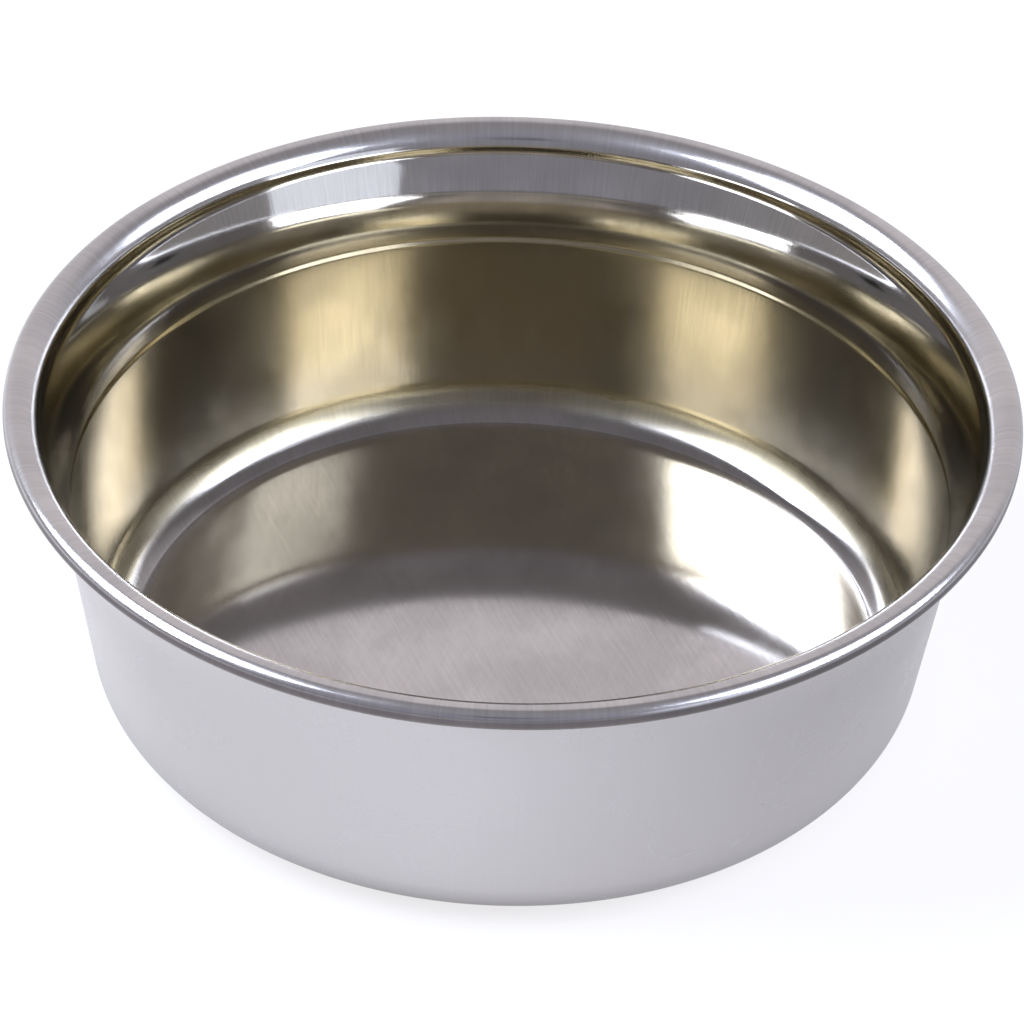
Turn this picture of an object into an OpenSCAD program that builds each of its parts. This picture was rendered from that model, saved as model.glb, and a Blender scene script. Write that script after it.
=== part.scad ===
// Double-walled shaving bowl: a pressed inner bowl and a drawn outer shell, with their edges curled together at the rim.
// The origin is on the axis, at the plane that the bowl stands on. +Z is up.

/* [Overall] */
// Diameter over the curled rim
rim_d = 120; // [110:1:135]
// Height from the table to the top of the rim
height = 40; // [39:0.5:44]
// Depth from the top of the rim to the floor inside
inside_depth = 37.5; // [35:0.5:37.5]

/* [Sheet] */
// Thickness of the inner bowl
inner_sheet = 0.5; // [0.4:0.05:0.6]
// Thickness of the outer shell
outer_sheet = 0.4; // [0.3:0.05:0.5]
// Space between the two sheets where they lie together
seam_gap = 0.05; // [0.04:0.01:0.06]

/* [Rim] */
// Diameter of the curled bead at the outside of the rim
bead_d = 2.6; // [2.5:0.1:3]
// Angle that both sheets turn through, from upright inside the rim, over the top and round the bead
curl_turn = 300; // [200:5:300]
// Radius of the roll from the top of the rim down to the neck
roll_r = 3; // [2.5:0.5:3.5]

/* [Collar] */
// Lean of the collar, from upright, at the neck under the roll
neck_tilt = 9; // [8:1:12]
// Radius of the hollow at the neck
neck_r = 5; // [4:0.5:6]
// Steepest flare of the collar, from upright, just under the neck
flare_tilt = 26.5; // [25:0.5:28]
// Radius of the bend from the flare down to the straight of the collar
flare_r = 30; // [28:0.5:31]
// Lean of the straight of the collar, from upright, and of the outer wall below it
foot_tilt = 9.5; // [9:0.1:9.7]
// Length of the straight of the collar, down its slope
collar_run = 1; // [0.5:0.1:1.5]

/* [Ledge] */
// Slope of the ledge, from upright
ledge_tilt = 22; // [20:1:40]
// Length of the flat of the ledge, down its slope
ledge_run = 0.3; // [0.2:0.1:1]
// Radius of the hollow above the ledge
cove_r = 1.6; // [1.4:0.1:2]
// Radius over the shoulder below the ledge
shoulder_r = 1.6; // [1.4:0.1:2]

/* [Walls and floors] */
// Lean of the inner wall, from upright
wall_tilt = 9.3; // [9.1:0.1:10]
// Radius inside the corner between the inner wall and the floor
corner_r = 5.5; // [5:0.5:7]
// Radius outside the corner between the outer wall and the base
base_r = 7.5; // [6.5:0.5:8]

/* [Hidden] */
$fn = 180;
POLISHED = [0.78, 0.76, 0.73];
SATIN = [0.72, 0.72, 0.73];
// Largest turn between neighbouring points of a bend
arc_step = 4;
bead_r = bead_d / 2;
bead_c = [rim_d / 2 - bead_r, height - bead_r];
// Depths of the outer shell's two faces behind the inner bowl's polished face, where the sheets lie together
shell_front = inner_sheet + seam_gap;
shell_back = shell_front + outer_sheet;

// A section is followed down from the rim. A tilt is the sheet's angle from upright, leaning towards the axis.
// A hollow bend has its centre inside the bowl, and the tilt grows along it. A rounded bend has its centre outside.
// Its radius is negative here, and the tilt falls along it.
// Centre of a bend of radius r that starts at the place p, at tilt a
function centre(p, a, r) = p - r * [cos(a), -sin(a)];
// Place on the bend about c, of radius r, where the tilt is a
function on_bend(c, a, r) = centre(c, a, -r);
// Place a length down a straight stretch from p, at tilt a
function along(p, a, length) = p - length * [sin(a), cos(a)];
// Place where a straight wall from p, at tilt a, meets a corner of radius r that ends level at height z
function wall_foot(p, a, r, z) = p - (p[1] - z - r * (1 - sin(a))) * [tan(a), 1];

// Starts and centres of the bends on the inner bowl's polished face
roll_c = [bead_c[0], height - roll_r];
neck_top = on_bend(roll_c, neck_tilt, -roll_r);
neck_c = centre(neck_top, neck_tilt, neck_r);
flare_top = on_bend(neck_c, flare_tilt, neck_r);
flare_c = centre(flare_top, flare_tilt, -flare_r);
collar_foot = along(on_bend(flare_c, foot_tilt, -flare_r), foot_tilt, collar_run);
cove_c = centre(collar_foot, foot_tilt, cove_r);
shoulder_top = along(on_bend(cove_c, ledge_tilt, cove_r), ledge_tilt, ledge_run);
shoulder_c = centre(shoulder_top, ledge_tilt, -shoulder_r);
wall_top = on_bend(shoulder_c, wall_tilt, -shoulder_r);
floor_z = height - inside_depth;
corner_c = centre(wall_foot(wall_top, wall_tilt, corner_r, floor_z), wall_tilt, corner_r);
// The outer wall carries on down the line of the collar's foot
base_front_r = base_r - shell_back;
base_c = centre(wall_foot(collar_foot, foot_tilt, base_front_r, shell_back), foot_tilt, base_front_r);

// Points along an arc about c, between two directions from c, no more than arc_step apart
function arc(c, r, from, to) =
    let (steps = ceil(abs(to - from) / arc_step))
    [for (i = [0 : steps]) let (a = from + (to - from) * i / steps) c + r * [cos(a), sin(a)]];
// A face of a hollow bend and of a rounded bend, between two tilts, at a depth behind the polished face
function hollow(c, r, depth, from, to) = arc(c, r + depth, -from, -to);
function rounded(c, r, depth, from, to) = arc(c, r - depth, 180 - from, 180 - to);

// The stretch where both sheets lie together, from the edge inside the bead to the foot of the collar
function rolled_face(depth) = concat(
    arc(bead_c, bead_r - depth, 180 - curl_turn, 90),
    rounded(roll_c, roll_r, depth, 90, neck_tilt),
    hollow(neck_c, neck_r, depth, neck_tilt, flare_tilt),
    rounded(flare_c, flare_r, depth, flare_tilt, foot_tilt),
    [collar_foot + depth * [cos(foot_tilt), -sin(foot_tilt)]]);
function inner_bowl_face(depth) = concat(
    rolled_face(depth),
    hollow(cove_c, cove_r, depth, foot_tilt, ledge_tilt),
    rounded(shoulder_c, shoulder_r, depth, ledge_tilt, wall_tilt),
    hollow(corner_c, corner_r, depth, wall_tilt, 90),
    [[0, floor_z - depth]]);
function outer_shell_face(depth) = concat(
    rolled_face(depth),
    hollow(base_c, base_front_r, depth, foot_tilt, 90),
    [[0, shell_back - depth]]);

// A sheet turned about the axis, from the points along its two faces
module turned_sheet(front, back) {
    rotate_extrude() polygon(concat(front, [for (i = [len(back) - 1 : -1 : 0]) back[i]]));
}

// Collar, ledge, inner wall and floor in one pressing, whose edge makes the outside of the bead
module inner_bowl() {
    color(POLISHED) turned_sheet(inner_bowl_face(0), inner_bowl_face(inner_sheet));
}

// Smooth outer wall and base in one drawing, whose edge lines the bead
module outer_shell() {
    color(SATIN) turned_sheet(outer_shell_face(shell_front), outer_shell_face(shell_back));
}

inner_bowl();
outer_shell();
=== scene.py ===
# %% [markdown]
# # A double-walled steel shaving bowl
# The bowl is two sheets of stainless steel. The inner bowl is pressed with a polished flared collar, a shallow
# ledge, a satin wall and a brushed floor. The outer shell is drawn smooth, and both edges are curled together
# into the bead of the rim. Everything here is turned about one axis, so each sheet could be lathed from a
# curve, built by the Screw modifier, or spun as a mesh. We spin a mesh, because then every ring has a place
# that we choose, and a mirror finish shows each ring that is out of place.

# %% Load the frame
import bmesh
import bpy
import math
from mathutils import Matrix, Vector


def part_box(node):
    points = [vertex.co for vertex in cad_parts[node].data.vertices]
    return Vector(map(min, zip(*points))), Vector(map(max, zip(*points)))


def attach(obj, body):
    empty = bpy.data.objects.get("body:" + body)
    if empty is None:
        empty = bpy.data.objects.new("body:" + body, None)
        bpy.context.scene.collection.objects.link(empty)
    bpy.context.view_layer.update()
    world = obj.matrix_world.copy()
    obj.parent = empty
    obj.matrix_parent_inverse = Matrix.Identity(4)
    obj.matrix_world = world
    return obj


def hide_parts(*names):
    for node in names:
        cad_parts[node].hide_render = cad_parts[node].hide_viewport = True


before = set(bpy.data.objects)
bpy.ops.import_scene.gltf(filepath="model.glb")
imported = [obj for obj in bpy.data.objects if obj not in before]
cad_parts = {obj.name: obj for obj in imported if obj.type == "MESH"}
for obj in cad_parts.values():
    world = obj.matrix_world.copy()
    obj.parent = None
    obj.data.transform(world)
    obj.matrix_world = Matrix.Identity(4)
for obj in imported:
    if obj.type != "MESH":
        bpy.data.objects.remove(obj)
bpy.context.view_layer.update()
print("nodes:", sorted(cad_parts))

# %% [markdown]
# ## Sizes
# The frame says how high the bowl is. Its width and its bends are the bowl maker's own figures, and the print
# shows the frame's width to compare. A tilt is a sheet's angle from upright, leaning towards the axis, in
# degrees.

# %% Driving sizes
MM = 0.001
inner_low, inner_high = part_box("inner_bowl")
RIM_RADIUS = 60 * MM
HEIGHT = inner_high.z
FLOOR_Z = HEIGHT - 37.5 * MM
INNER_SHEET = 0.5 * MM
OUTER_SHEET = 0.4 * MM
SEAM_GAP = 0.05 * MM
BEAD_RADIUS = 1.3 * MM
ROLL_RADIUS = 3 * MM
CURL_TURN = 300
NECK_TILT, NECK_RADIUS = 9, 5 * MM
FLARE_TILT, FLARE_RADIUS = 26.5, 30 * MM
FOOT_TILT, COLLAR_RUN = 9.5, 1 * MM
LEDGE_TILT, LEDGE_RUN = 22, 0.3 * MM
COVE_RADIUS, SHOULDER_RADIUS = 1.6 * MM, 1.6 * MM
WALL_TILT, CORNER_RADIUS = 9.3, 5.5 * MM
BASE_RADIUS = 7.5 * MM
SHELL_DEPTH = INNER_SHEET + SEAM_GAP
print(f"rim {inner_high.x - inner_low.x:.4f} m across, {HEIGHT:.4f} m high")

# %% [markdown]
# ## Drawing a section with a walker
# A section is one line from the edge inside the bead down to the middle of the floor. A person with a pencil
# would draw it bend by bend, and so does this walker: it keeps the last vertex and the way it is heading. A
# straight run extrudes that vertex and moves it, and a bend spins it about the centre of the bend. A few rings
# are laid on every straight run too, so that no face is long and thin and the reflections stay smooth.

# %% The walker
RING_TURN = 2.5
RING_LENGTH = 1.6 * MM


class SectionWalker:
    def __init__(self, start, tilt):
        self.mesh = bmesh.new()
        self.end = self.mesh.verts.new((start[0], 0, start[1]))
        self.tilt = tilt

    def heading(self):
        lean = math.radians(self.tilt)
        return Vector((-math.sin(lean), 0, -math.cos(lean)))

    def run(self, length, rings=None):
        """A straight stretch down the sheet, in equal steps."""
        steps = rings or max(1, round(length / RING_LENGTH))
        for _ in range(steps):
            made = bmesh.ops.extrude_vert_indiv(self.mesh, verts=[self.end])
            self.end = made["verts"][0]
            bmesh.ops.translate(self.mesh, verts=[self.end], vec=self.heading() * (length / steps))
        return self

    def bend(self, radius, tilt, ring_turn=RING_TURN):
        """A bend to a new tilt. A growing tilt turns about a centre in the bowl, a falling one outside it."""
        turn = tilt - self.tilt
        lean = math.radians(self.tilt)
        inward = Vector((-math.cos(lean), 0, math.sin(lean))) * (radius if turn > 0 else -radius)
        made = bmesh.ops.spin(self.mesh, geom=[self.end], cent=self.end.co + inward, axis=(0, 1, 0),
                              angle=math.radians(turn), steps=max(2, round(abs(turn) / ring_turn)))
        self.end = made["geom_last"][0]
        self.tilt = tilt
        return self


# %% [markdown]
# ## The stretch that both sheets share
# From the raw edge inside the bead, over the top of the rim and down to the foot of the collar, both sheets
# follow the same line at different depths. A depth is measured behind the polished face, so each bend's
# radius grows or shrinks by it, and the centres of the bends stay where they are.

# %% Rolled rim and collar
BEAD_CENTRE = Vector((RIM_RADIUS - BEAD_RADIUS, 0, HEIGHT - BEAD_RADIUS))
print(f"bead centre: {BEAD_CENTRE.x / MM:.1f} mm out, {BEAD_CENTRE.z / MM:.1f} mm up")


def rolled_rim(depth):
    """Walks the curl, the roll, the neck, the flare and the straight of the collar, at a depth."""
    radius = BEAD_RADIUS - depth
    angle = math.radians(180 - CURL_TURN)
    start = BEAD_CENTRE + radius * Vector((math.cos(angle), 0, math.sin(angle)))
    walker = SectionWalker((start.x, start.z), CURL_TURN)
    walker.bend(radius, 90, ring_turn=6)
    walker.bend(ROLL_RADIUS - depth, NECK_TILT)
    walker.bend(NECK_RADIUS + depth, FLARE_TILT, ring_turn=1.5)
    walker.bend(FLARE_RADIUS - depth, FOOT_TILT, ring_turn=1)
    return walker.run(COLLAR_RUN)


def run_to_corner(walker, radius, level):
    """Length of the straight that lets a corner of this radius end flat at this level."""
    lean = math.radians(walker.tilt)
    drop = walker.end.co.z - level - radius * (1 - math.sin(lean))
    return drop / math.cos(lean)


# %% [markdown]
# ## Inner bowl and outer shell as lines
# Under the collar the inner bowl steps in over a small cove and shoulder, which make the ledge, and goes on
# down the wall into the floor. The outer shell keeps the collar's lean all the way down to its base.

# %% Sections of the two sheets
print(f"outer shell: {SHELL_DEPTH / MM:.2f} mm behind the polished face")


def inner_section(depth):
    walker = rolled_rim(depth)
    walker.bend(COVE_RADIUS + depth, LEDGE_TILT, ring_turn=5)
    walker.run(LEDGE_RUN, rings=3)
    walker.bend(SHOULDER_RADIUS - depth, WALL_TILT, ring_turn=5)
    walker.run(run_to_corner(walker, CORNER_RADIUS + depth, FLOOR_Z - depth))
    walker.bend(CORNER_RADIUS + depth, 90)
    return walker.run(walker.end.co.x, rings=24)


def outer_section(depth):
    walker = rolled_rim(depth)
    base_radius = BASE_RADIUS - SHELL_DEPTH - OUTER_SHEET + depth
    level = SHELL_DEPTH + OUTER_SHEET - depth
    walker.run(run_to_corner(walker, base_radius, level))
    walker.bend(base_radius, 90)
    return walker.run(walker.end.co.x, rings=24)


# %% [markdown]
# ## Spinning a sheet
# The polished face and the back face are walked one after the other, and a short edge joins them at the raw
# edge of the curl. A full spin about the axis makes the sheet, the doubles on the axis are merged, and the
# normals are recalculated, because a spin can turn a shape inside out.

# %% Spin
SPIN_STEPS = 288


def spun_sheet(name, section, front, back):
    face, rear = section(front).mesh, section(back).mesh
    scratch = bpy.data.meshes.new("scratch")
    rear.to_mesh(scratch)
    face.from_mesh(scratch)
    bpy.data.meshes.remove(scratch)
    ends = [v for v in face.verts if len(v.link_edges) == 1]
    raw_edge = [v for v in ends if v.co.x > BEAD_RADIUS]
    face.edges.new(raw_edge)
    bmesh.ops.spin(face, geom=face.verts[:] + face.edges[:], cent=(0, 0, 0), axis=(0, 0, 1),
                   angle=math.tau, steps=SPIN_STEPS, use_merge=True)
    bmesh.ops.remove_doubles(face, verts=face.verts, dist=MM * 0.001)
    bmesh.ops.dissolve_degenerate(face, edges=face.edges, dist=MM * 0.0001)
    loose = [v for v in face.verts if not v.link_faces]
    bmesh.ops.delete(face, geom=loose, context="VERTS")
    bmesh.ops.recalc_face_normals(face, faces=face.faces)
    for polygon in face.faces:
        polygon.smooth = True
    mesh = bpy.data.meshes.new(name)
    face.to_mesh(mesh)
    piece = bpy.data.objects.new(name, mesh)
    bpy.context.scene.collection.objects.link(piece)
    closed = all(len(e.link_faces) == 2 for e in face.edges)
    print(name, len(mesh.polygons), "faces, closed:", closed)
    face.free()
    rear.free()
    return piece


inner_bowl = spun_sheet("inner_bowl_pressing", inner_section, 0, INNER_SHEET)
outer_shell = spun_sheet("outer_shell_drawing", outer_section, SHELL_DEPTH, SHELL_DEPTH + OUTER_SHEET)

# %% [markdown]
# ## Finishes: one steel, worked in four ways
# Bare stainless has no paint, so its whole look is its colour, how sharp its reflections are, and the marks
# left by the wheel or the belt. Two effects are shared by both sheets, so each is a node group: fine lines,
# and soft blotches where a cloth has wiped. A zone is only a step in height or radius, so it stays in its
# material.

# %% Small helpers for node trees
def add_node(tree, kind, **settings):
    made = tree.nodes.new(kind)
    for name, value in settings.items():
        setattr(made, name, value)
    return made


def calculate(tree, operation, first, second):
    """A Math node. Each input is a socket or a number."""
    made = add_node(tree, "ShaderNodeMath", operation=operation)
    for slot, value in zip(made.inputs, (first, second)):
        if isinstance(value, bpy.types.NodeSocket):
            tree.links.new(value, slot)
        else:
            slot.default_value = value
    return made.outputs[0]


def rise(tree, value, low, high, smooth=True):
    """0 below low, 1 above high, and a soft step between. With low above high it falls instead of rising."""
    made = add_node(tree, "ShaderNodeMapRange", interpolation_type="SMOOTHSTEP" if smooth else "LINEAR")
    tree.links.new(value, made.inputs["Value"])
    made.inputs["From Min"].default_value = low
    made.inputs["From Max"].default_value = high
    return made.outputs["Result"]


def blend_values(tree, share, first, second):
    """first where share is 0, second where it is 1."""
    made = add_node(tree, "ShaderNodeMix", data_type="FLOAT")
    for slot, value in ((made.inputs[0], share), (made.inputs[2], first), (made.inputs[3], second)):
        if isinstance(value, bpy.types.NodeSocket):
            tree.links.new(value, slot)
        else:
            slot.default_value = value
    return made.outputs[0]


def blend_colours(tree, share, first, second, mode="MIX"):
    made = add_node(tree, "ShaderNodeMix", data_type="RGBA", blend_type=mode)
    for slot, value in ((made.inputs[0], share), (made.inputs[6], first), (made.inputs[7], second)):
        if isinstance(value, bpy.types.NodeSocket):
            tree.links.new(value, slot)
        elif isinstance(value, (int, float)):
            slot.default_value = value
        else:
            slot.default_value = (*value, 1)
    return made.outputs[2]


# %% [markdown]
# ### Brushed lines
# A belt or a pad leaves thousands of fine parallel scratches. Noise that is stretched a hundredfold along one
# way looks like them. On the wall they run up the sheet, so the pattern is read round the axis, as an angle
# and a height. On the floor they run straight across, as the pad left them, in two crossing headings.

# %% Brushed-line group
def line_group(name):
    tree = bpy.data.node_groups.new(name, "ShaderNodeTree")
    tree.interface.new_socket("Place", in_out="INPUT", socket_type="NodeSocketVector")
    fineness = tree.interface.new_socket("Fineness", in_out="INPUT", socket_type="NodeSocketFloat")
    fineness.default_value = 1
    tree.interface.new_socket("Lines", in_out="OUTPUT", socket_type="NodeSocketFloat")
    into, out = add_node(tree, "NodeGroupInput"), add_node(tree, "NodeGroupOutput")
    fine = add_node(tree, "ShaderNodeTexNoise")
    fine.inputs["Detail"].default_value = 4
    fine.inputs["Roughness"].default_value = 0.65
    tree.links.new(into.outputs["Place"], fine.inputs["Vector"])
    tree.links.new(into.outputs["Fineness"], fine.inputs["Scale"])
    tree.links.new(rise(tree, fine.outputs[0], 0.3, 0.7, smooth=False), out.inputs["Lines"])
    return tree


BRUSHED_LINES = line_group("brushed_lines")
print("groups:", BRUSHED_LINES.name)


# %% [markdown]
# ### Blotches
# Steel that has been wiped and handled is never evenly dull. A slow noise makes cloudy patches, which lift
# and drop the roughness and the tint by a little.

# %% Blotch group
def blotch_group(name):
    tree = bpy.data.node_groups.new(name, "ShaderNodeTree")
    tree.interface.new_socket("Place", in_out="INPUT", socket_type="NodeSocketVector")
    tree.interface.new_socket("Size", in_out="INPUT", socket_type="NodeSocketFloat")
    tree.interface.new_socket("Cloud", in_out="OUTPUT", socket_type="NodeSocketFloat")
    into, out = add_node(tree, "NodeGroupInput"), add_node(tree, "NodeGroupOutput")
    slow = add_node(tree, "ShaderNodeTexNoise")
    slow.inputs["Detail"].default_value = 3
    tree.links.new(into.outputs["Place"], slow.inputs["Vector"])
    tree.links.new(calculate(tree, "DIVIDE", 1.0, into.outputs["Size"]), slow.inputs["Scale"])
    tree.links.new(rise(tree, slow.outputs[0], 0.35, 0.65), out.inputs["Cloud"])
    return tree


BLOTCHES = blotch_group("wiped_blotches")
print("groups:", BLOTCHES.name)


# %% Placing a group and reading places
def place_group(tree, group, **values):
    made = add_node(tree, "ShaderNodeGroup", node_tree=group)
    for name, value in values.items():
        if isinstance(value, bpy.types.NodeSocket):
            tree.links.new(value, made.inputs[name])
        else:
            made.inputs[name].default_value = value
    return made.outputs[0]


def object_place(tree):
    """The place on the piece: the vector, its height and its distance from the axis."""
    where = add_node(tree, "ShaderNodeTexCoord").outputs["Object"]
    parts = add_node(tree, "ShaderNodeSeparateXYZ")
    tree.links.new(where, parts.inputs[0])
    x, y, z = parts.outputs
    radius = calculate(tree, "POWER", calculate(tree, "ADD", calculate(tree, "MULTIPLY", x, x),
                                                calculate(tree, "MULTIPLY", y, y)), 0.5)
    return where, x, y, z, radius


def unrolled(tree, x, y, z, around, upward):
    """The place on a round wall as an angle and a height, each scaled, as if the wall were unrolled."""
    flat = add_node(tree, "ShaderNodeCombineXYZ")
    tree.links.new(calculate(tree, "MULTIPLY", calculate(tree, "ARCTAN2", y, x), around), flat.inputs[0])
    tree.links.new(calculate(tree, "MULTIPLY", z, upward), flat.inputs[1])
    return flat.outputs[0]


def strokes(tree, where, along, across, heading):
    """The place, turned and scaled so that a noise read there is drawn out along a heading from +X."""
    turned = add_node(tree, "ShaderNodeVectorRotate", rotation_type="Z_AXIS")
    turned.inputs["Angle"].default_value = math.radians(-heading)
    tree.links.new(where, turned.inputs["Vector"])
    mapping = add_node(tree, "ShaderNodeMapping")
    mapping.inputs["Scale"].default_value = (along, across, 1)
    tree.links.new(turned.outputs[0], mapping.inputs["Vector"])
    return mapping.outputs[0]


def bump_from(tree, height, strength, distance):
    made = add_node(tree, "ShaderNodeBump")
    made.inputs["Strength"].default_value = strength
    made.inputs["Distance"].default_value = distance
    tree.links.new(height, made.inputs["Height"])
    return made.outputs[0]


def new_steel(name, roughness=0.2):
    material = bpy.data.materials.new(name)
    material.use_nodes = True
    shader = material.node_tree.nodes["Principled BSDF"]
    shader.inputs["Metallic"].default_value = 1
    shader.inputs["Roughness"].default_value = roughness
    return material, material.node_tree, shader


# %% [markdown]
# ## Inner steel
# The rim is satin polished, the collar is nearly a mirror, the wall is satin with upright hairlines and a warm
# straw tint, and the floor is brushed and cooler. The corner is rougher, and its colour is darkened towards
# black as painted shade. The strip under the bead is darkened as painted shade too. Every zone is a height on
# the pressing, measured down from the rim or up from the floor. The strip under the bead has a radius too,
# which keeps it to the outside.

# %% Inner steel
NEUTRAL_STEEL = (0.55, 0.535, 0.54)
COLLAR_STEEL = (0.54, 0.52, 0.48)
WALL_STEEL = (0.39, 0.346, 0.246)
FLOOR_STEEL = (0.56, 0.54, 0.545)
# Painted shade for the strip under the bead: its colour is multiplied darker.
UNDER_BEAD_PAINTED_SHADE = (0.3, 0.28, 0.29)
SCRATCHED = (0.78, 0.765, 0.74)
BLACK = (0, 0, 0)
# The corner's share of black is painted shade.
CORNER_PAINTED_SHADE, CLOUD_DARKENING, SCRATCH_SHARE = 0.45, 0.14, 0.7
COLLAR_SCRATCHES = 0.8
RIM_ROUGHNESS, COLLAR_ROUGHNESS, WALL_ROUGHNESS = 0.2, 0.07, 0.17
CORNER_ROUGHNESS, FLOOR_ROUGHNESS = 0.33, 0.075
COLLAR_FOOT_Z = HEIGHT - 13.3 * MM
NECK_Z = HEIGHT - 1.6 * MM


def inner_steel():
    material, tree, shader = new_steel("inner_steel")
    where, x, y, z, radius = object_place(tree)
    on_floor = calculate(tree, "SUBTRACT", 1.0, rise(tree, z, FLOOR_Z + 0.4 * MM, FLOOR_Z + 2.2 * MM))
    in_corner = calculate(tree, "MULTIPLY", rise(tree, z, FLOOR_Z + 4.5 * MM, FLOOR_Z + 2.5 * MM),
                          rise(tree, z, FLOOR_Z, FLOOR_Z + 0.4 * MM))
    on_collar = rise(tree, z, COLLAR_FOOT_Z - 0.2 * MM, COLLAR_FOOT_Z + 2.6 * MM)
    on_rim = rise(tree, z, NECK_Z - 0.4 * MM, NECK_Z + 0.4 * MM)
    # The strip under the bead is darkened as painted shade.
    painted_shade_under_bead = calculate(tree, "MULTIPLY", rise(tree, z, HEIGHT - 0.6 * MM, HEIGHT - 1.1 * MM),
                           rise(tree, radius, RIM_RADIUS - 1.5 * MM, RIM_RADIUS - 1.0 * MM))

    wall_lines = place_group(tree, BRUSHED_LINES, Place=unrolled(tree, x, y, z, around=90, upward=70),
                             Fineness=1.6)
    pad_lines = place_group(tree, BRUSHED_LINES,
                            Place=strokes(tree, where, along=150, across=2200, heading=112))
    cross_lines = place_group(tree, BRUSHED_LINES,
                              Place=strokes(tree, where, along=110, across=1500, heading=72))
    floor_marks = blend_values(tree, 0.3, pad_lines, cross_lines)
    marks = blend_values(tree, on_floor, wall_lines, floor_marks)
    cloud = place_group(tree, BLOTCHES, Place=where, Size=0.011)

    tint = blend_colours(tree, on_floor, WALL_STEEL, FLOOR_STEEL)
    tint = blend_colours(tree, on_collar, tint, COLLAR_STEEL)
    tint = blend_colours(tree, on_rim, tint, NEUTRAL_STEEL)
    # The corner's colour is darkened towards black as painted shade.
    tint = blend_colours(tree, calculate(tree, "MULTIPLY", in_corner, CORNER_PAINTED_SHADE), tint, BLACK)
    tint = blend_colours(tree, calculate(tree, "MULTIPLY", cloud, CLOUD_DARKENING), tint, BLACK)
    darker = blend_colours(tree, 1.0, tint, SCRATCHED, mode="MULTIPLY")
    marked = calculate(tree, "MULTIPLY", marks, blend_values(tree, on_collar, 1.0, COLLAR_SCRATCHES))
    tint = blend_colours(tree, calculate(tree, "MULTIPLY", marked, SCRATCH_SHARE), tint, darker)
    shaded_under_bead = blend_colours(tree, 1.0, tint, UNDER_BEAD_PAINTED_SHADE, mode="MULTIPLY")
    tree.links.new(blend_colours(tree, painted_shade_under_bead, tint, shaded_under_bead), shader.inputs["Base Color"])

    rough = blend_values(tree, in_corner, WALL_ROUGHNESS, CORNER_ROUGHNESS)
    rough = blend_values(tree, on_floor, rough, FLOOR_ROUGHNESS)
    rough = blend_values(tree, on_collar, rough, COLLAR_ROUGHNESS)
    rough = blend_values(tree, on_rim, rough, RIM_ROUGHNESS)
    unevenness = blend_values(tree, cloud, 0.85, 1.2)
    tree.links.new(calculate(tree, "MULTIPLY", rough, unevenness), shader.inputs["Roughness"])
    tree.links.new(bump_from(tree, marked, 0.25, 0.004 * MM), shader.inputs["Normal"])
    return material


INNER_STEEL = inner_steel()
inner_bowl.data.materials.append(INNER_STEEL)
print("inner steel:", len(INNER_STEEL.node_tree.nodes), "nodes")

# %% [markdown]
# ## Outer steel
# The outer shell is an even satin, with faint upright drawing lines and slow blotches. It mirrors the table,
# so it is nearly one pale grey, and a little darker where the table is.

# %% Outer steel
SHELL_STEEL = (0.56, 0.545, 0.55)
SHELL_LINES = (0.5, 0.49, 0.5)
SHELL_CLOUDS = (0.55, 0.52, 0.53)
SHELL_ROUGHNESS = 0.27


def outer_steel():
    material, tree, shader = new_steel("outer_steel", SHELL_ROUGHNESS)
    where, x, y, z = object_place(tree)[:4]
    lines = place_group(tree, BRUSHED_LINES, Place=unrolled(tree, x, y, z, around=240, upward=60),
                        Fineness=1.4)
    cloud = place_group(tree, BLOTCHES, Place=where, Size=0.016)
    worn = blend_colours(tree, calculate(tree, "MULTIPLY", lines, 0.35), SHELL_STEEL, SHELL_LINES)
    cool = blend_colours(tree, calculate(tree, "MULTIPLY", cloud, 0.3), worn, SHELL_CLOUDS)
    tree.links.new(cool, shader.inputs["Base Color"])
    rough = calculate(tree, "MULTIPLY", blend_values(tree, cloud, 0.9, 1.15), SHELL_ROUGHNESS)
    tree.links.new(rough, shader.inputs["Roughness"])
    tree.links.new(bump_from(tree, lines, 0.12, 0.003 * MM), shader.inputs["Normal"])
    return material


OUTER_STEEL = outer_steel()
outer_shell.data.materials.append(OUTER_STEEL)
print("outer steel:", len(OUTER_STEEL.node_tree.nodes), "nodes")

# %% [markdown]
# ## Joining the frame
# Each sheet takes the place of its plain CAD node and rides on the only body.

# %% Ride and replace
for piece, node, slot in ((inner_bowl, "inner_bowl", "inner_steel"),
                          (outer_shell, "outer_shell", "outer_steel")):
    print(piece.name, "takes the place of", node)
    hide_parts(node)
    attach(piece, "root")

# %% [markdown]
# ## Table
# A polished bowl is a picture of its room, so the room is chosen with care. The table is plain, and pale
# enough to fill the outer wall with an even light. Part of its light is its own, so that the bowl's shadow
# stays soft and faint. Where the steel mirrors it, the table's glow carries a painted shadow, dimmer under the
# bowl and to the right, and that models the round wall. The camera sees it evenly pale.

# %% Table
TABLE_HALF = 3.0
TABLE_DROP = 0.02 * MM
TABLE_GREY = (0.13, 0.13, 0.13, 1)
TABLE_LIGHT = (1, 0.985, 1, 1)
TABLE_GLOW, SEEN_GLOW = 0.74, 1.04
SHADE_UNDER, SHADE_RIGHT = 0.5, 0.68


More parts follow.
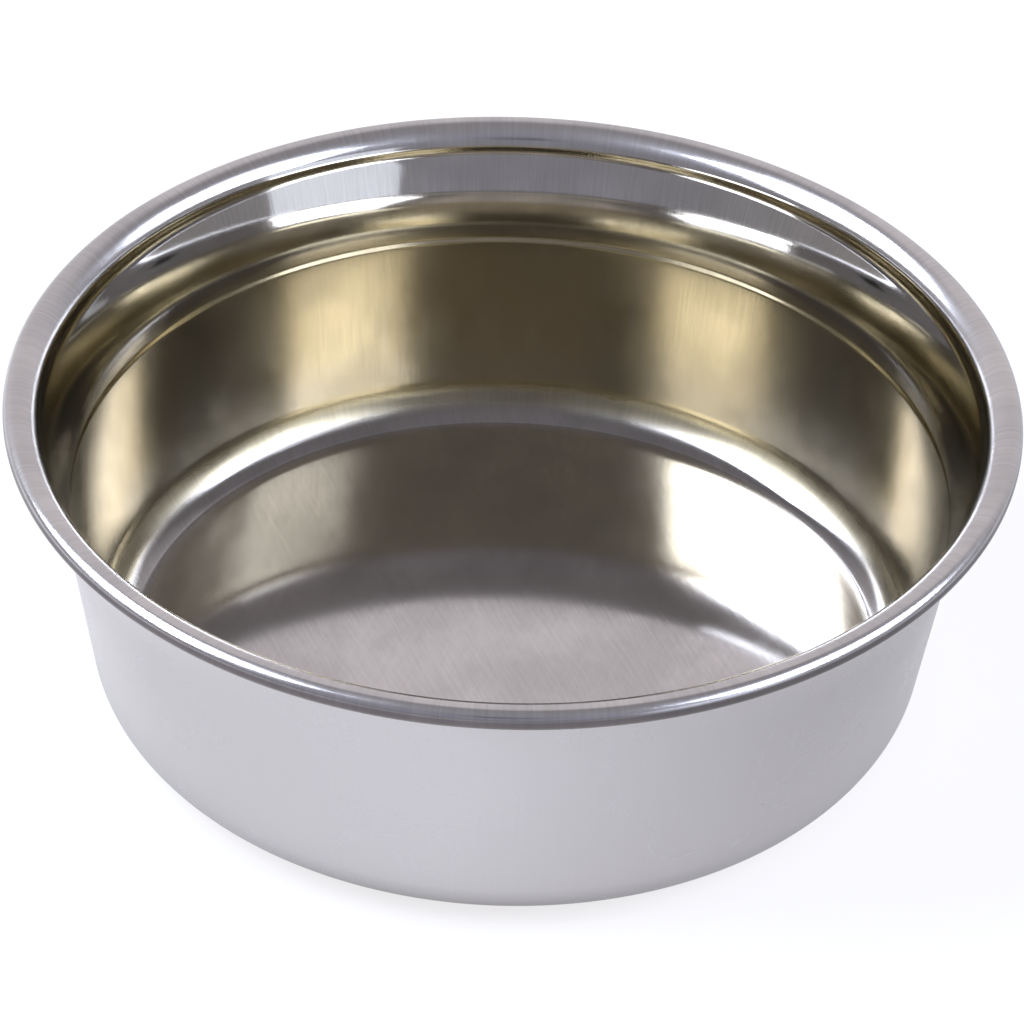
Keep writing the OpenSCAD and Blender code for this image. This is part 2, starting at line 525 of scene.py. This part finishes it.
def pale_table():
    mesh = bpy.data.meshes.new("table")
    sheet = bmesh.new()
    bmesh.ops.create_grid(sheet, x_segments=1, y_segments=1, size=TABLE_HALF)
    bmesh.ops.translate(sheet, verts=sheet.verts, vec=(0, 0, -TABLE_DROP))
    sheet.to_mesh(mesh)
    sheet.free()
    table = bpy.data.objects.new("table", mesh)
    bpy.context.scene.collection.objects.link(table)
    material = bpy.data.materials.new("pale_table")
    material.use_nodes = True
    shader = material.node_tree.nodes["Principled BSDF"]
    shader.inputs["Base Color"].default_value = TABLE_GREY
    shader.inputs["Roughness"].default_value = 1
    shader.inputs["Specular IOR Level"].default_value = 0
    shader.inputs["Emission Color"].default_value = TABLE_LIGHT
    tree = material.node_tree
    _, x, _, _, radius = object_place(tree)
    # The glow that the steel mirrors carries a painted shadow under the bowl and to the right.
    under = blend_values(tree, rise(tree, radius, 44 * MM, 56 * MM), SHADE_UNDER, 1.0)
    right = blend_values(tree, rise(tree, x, -5 * MM, 60 * MM, smooth=False), 1.0, SHADE_RIGHT)
    seen = add_node(tree, "ShaderNodeLightPath").outputs["Is Camera Ray"]
    mirrored = calculate(tree, "MULTIPLY", under, right)
    glow = blend_values(tree, seen, mirrored, SEEN_GLOW)
    tree.links.new(calculate(tree, "MULTIPLY", glow, TABLE_GLOW), shader.inputs["Emission Strength"])
    mesh.materials.append(material)
    print("table:", 2 * TABLE_HALF, "m square")


pale_table()

# %% [markdown]
# ## Room light
# The room behind the bowl is bright, because the floor of the bowl shows it. The side that the camera stands
# on is a dim blue-grey, and that is the band in the collar. The camera itself sees plain white.

# %% World
FRONT_SKY = (0.40, 0.405, 0.49)
SIDE_SKY = (0.40, 0.385, 0.41)
BACK_SKY = (0.93, 0.89, 0.92)


def room_light():
    world = bpy.data.worlds.new("room")
    bpy.context.scene.world = world
    world.use_nodes = True
    tree = world.node_tree
    sky = tree.nodes["Background"]
    parts = add_node(tree, "ShaderNodeSeparateXYZ")
    tree.links.new(add_node(tree, "ShaderNodeTexCoord").outputs["Generated"], parts.inputs[0])
    ramp = add_node(tree, "ShaderNodeValToRGB")
    tree.links.new(rise(tree, parts.outputs["Y"], -1, 1, smooth=False), ramp.inputs[0])
    first, last = ramp.color_ramp.elements
    first.color = (*FRONT_SKY, 1)
    last.color = (*BACK_SKY, 1)
    for position, colour in ((0.5, SIDE_SKY), (0.72, SIDE_SKY), (0.84, BACK_SKY)):
        ramp.color_ramp.elements.new(position).color = (*colour, 1)
    tree.links.new(ramp.outputs[0], sky.inputs[0])
    white = add_node(tree, "ShaderNodeBackground")
    white.inputs[0].default_value = (1, 1, 1, 1)
    seen = add_node(tree, "ShaderNodeMixShader")
    tree.links.new(add_node(tree, "ShaderNodeLightPath").outputs["Is Camera Ray"], seen.inputs[0])
    tree.links.new(sky.outputs[0], seen.inputs[1])
    tree.links.new(white.outputs[0], seen.inputs[2])
    tree.links.new(seen.outputs[0], tree.nodes["World Output"].inputs[0])


room_light()
print("room: front", FRONT_SKY, "back", BACK_SKY)

# %% [markdown]
# ## Softboxes and fills
# Tall softboxes stand to the left and right. Each shows in the far wall only after three reflections, off the
# wall, the floor and the near wall, and that is why the wall has two bright panels with a dark one between.
# Two weak fills stand on the right. The floor shows the high one, and the collar shows the low one. An angle
# round the bowl is counted from the camera's side, towards +X. Sizes are in degrees, seen from the bowl.

# %% Softboxes
LIGHT_DISTANCE = 1.2
DAYLIGHT = (0.84, 0.92, 1.1)
AIM = Vector((0, 0, 0.9 * HEIGHT))


def stand_at(angle, elevation, distance):
    turn, lift = math.radians(angle), math.radians(elevation)
    return AIM + distance * Vector((math.sin(turn) * math.cos(lift), -math.cos(turn) * math.cos(lift),
                                    math.sin(lift)))


def softbox(name, angle, wide, elevation, tall, radiance):
    """A rectangle that covers so many degrees across and up, seen from the bowl."""
    lamp = bpy.data.lights.new(name, "AREA")
    lamp.shape = "RECTANGLE"
    lamp.size = 2 * LIGHT_DISTANCE * math.cos(math.radians(elevation)) * math.tan(math.radians(wide / 2))
    lamp.size_y = 2 * LIGHT_DISTANCE * math.tan(math.radians(tall / 2))
    lamp.energy = radiance * math.pi * lamp.size * lamp.size_y
    lamp.color = DAYLIGHT
    box = bpy.data.objects.new(name, lamp)
    bpy.context.scene.collection.objects.link(box)
    box.location = stand_at(angle, elevation, LIGHT_DISTANCE)
    box.rotation_euler = (box.location - AIM).to_track_quat("Z", "Y").to_euler()
    box.visible_camera = False
    print(name, f"{lamp.size:.2f} x {lamp.size_y:.2f} m")


softbox("left_softbox", angle=-91, wide=58, elevation=41, tall=38, radiance=16)
softbox("right_softbox", angle=77, wide=52, elevation=35, tall=26, radiance=16)
softbox("right_top_fill", angle=76, wide=38, elevation=52, tall=9, radiance=2.2)
softbox("right_low_fill", angle=45, wide=32, elevation=9, tall=20, radiance=1.1)

# %% [markdown]
# ## Camera card
# The camera and whoever holds it are the one dark thing in the room. A black card stands in for them, just
# behind the camera, and the steel mirrors it. It is out of the camera's sight and casts no shadow.

# %% Camera card
CARD_DISTANCE, CARD_WIDTH, CARD_HEIGHT = 0.86, 0.14, 0.16
CARD_ELEVATION = 36


def camera_card():
    mesh = bpy.data.meshes.new("camera_card")
    sheet = bmesh.new()
    bmesh.ops.create_grid(sheet, x_segments=1, y_segments=1, size=0.5)
    bmesh.ops.scale(sheet, verts=sheet.verts, vec=(CARD_WIDTH, CARD_HEIGHT, 1))
    lean = Vector((0, 0, 1)).rotation_difference(stand_at(0, CARD_ELEVATION, 1) - AIM)
    bmesh.ops.rotate(sheet, verts=sheet.verts, matrix=lean.to_matrix())
    bmesh.ops.translate(sheet, verts=sheet.verts, vec=stand_at(0, CARD_ELEVATION, CARD_DISTANCE))
    sheet.to_mesh(mesh)
    sheet.free()
    card = bpy.data.objects.new("camera_card", mesh)
    bpy.context.scene.collection.objects.link(card)
    material = bpy.data.materials.new("black_card")
    material.use_nodes = True
    shader = material.node_tree.nodes["Principled BSDF"]
    shader.inputs["Base Color"].default_value = (0.01, 0.01, 0.01, 1)
    shader.inputs["Roughness"].default_value = 1
    mesh.materials.append(material)
    card.visible_camera = False
    card.visible_shadow = False
    card.visible_diffuse = False


camera_card()

# %% [markdown]
# ## Camera
# A long lens looks down at the bowl from 0.8 m, a little rolled, with the rim just above the middle of the
# picture. The camera is turned to place the bowl, so it needs no shift.

# %% Camera
CAMERA_DISTANCE = 0.799
CAMERA_ELEVATION = 36.12
CAMERA_ROLL = 1.842
LENS = 238.8
SENSOR = 36.0
RIM_OFFSET = Vector((0.0016, 0.1128))


def camera_at_the_bowl():
    """Looks at the middle of the rim, then turns so that the rim sits RIM_OFFSET from the picture's middle,
    right and up, as a share of the picture's width."""
    lift, roll = math.radians(CAMERA_ELEVATION), math.radians(CAMERA_ROLL)
    forward = Vector((0, math.cos(lift), -math.sin(lift)))
    level_up = Vector((0, math.sin(lift), math.cos(lift)))
    right = Vector((1, 0, 0)) * math.cos(roll) + level_up * math.sin(roll)
    up = right.cross(forward)
    step = SENSOR / LENS
    view = (forward - right * RIM_OFFSET.x * step - up * RIM_OFFSET.y * step).normalized()
    back = -view
    side = (right - view * right.dot(view)).normalized()
    data = bpy.data.cameras.new("camera")
    data.lens = LENS
    data.sensor_width = SENSOR
    data.clip_start, data.clip_end = 0.01, 20
    camera = bpy.data.objects.new("camera", data)
    bpy.context.scene.collection.objects.link(camera)
    pose = Matrix((side, back.cross(side), back)).transposed().to_4x4()
    pose.translation = Vector((0, 0, HEIGHT)) - forward * CAMERA_DISTANCE
    camera.matrix_world = pose
    bpy.context.scene.camera = camera


camera_at_the_bowl()
print(f"camera: {CAMERA_DISTANCE} m away, {CAMERA_ELEVATION} degrees up")
bpy.context.scene.view_settings.view_transform = "Standard"

# %% Update the scene
bpy.context.view_layer.update()
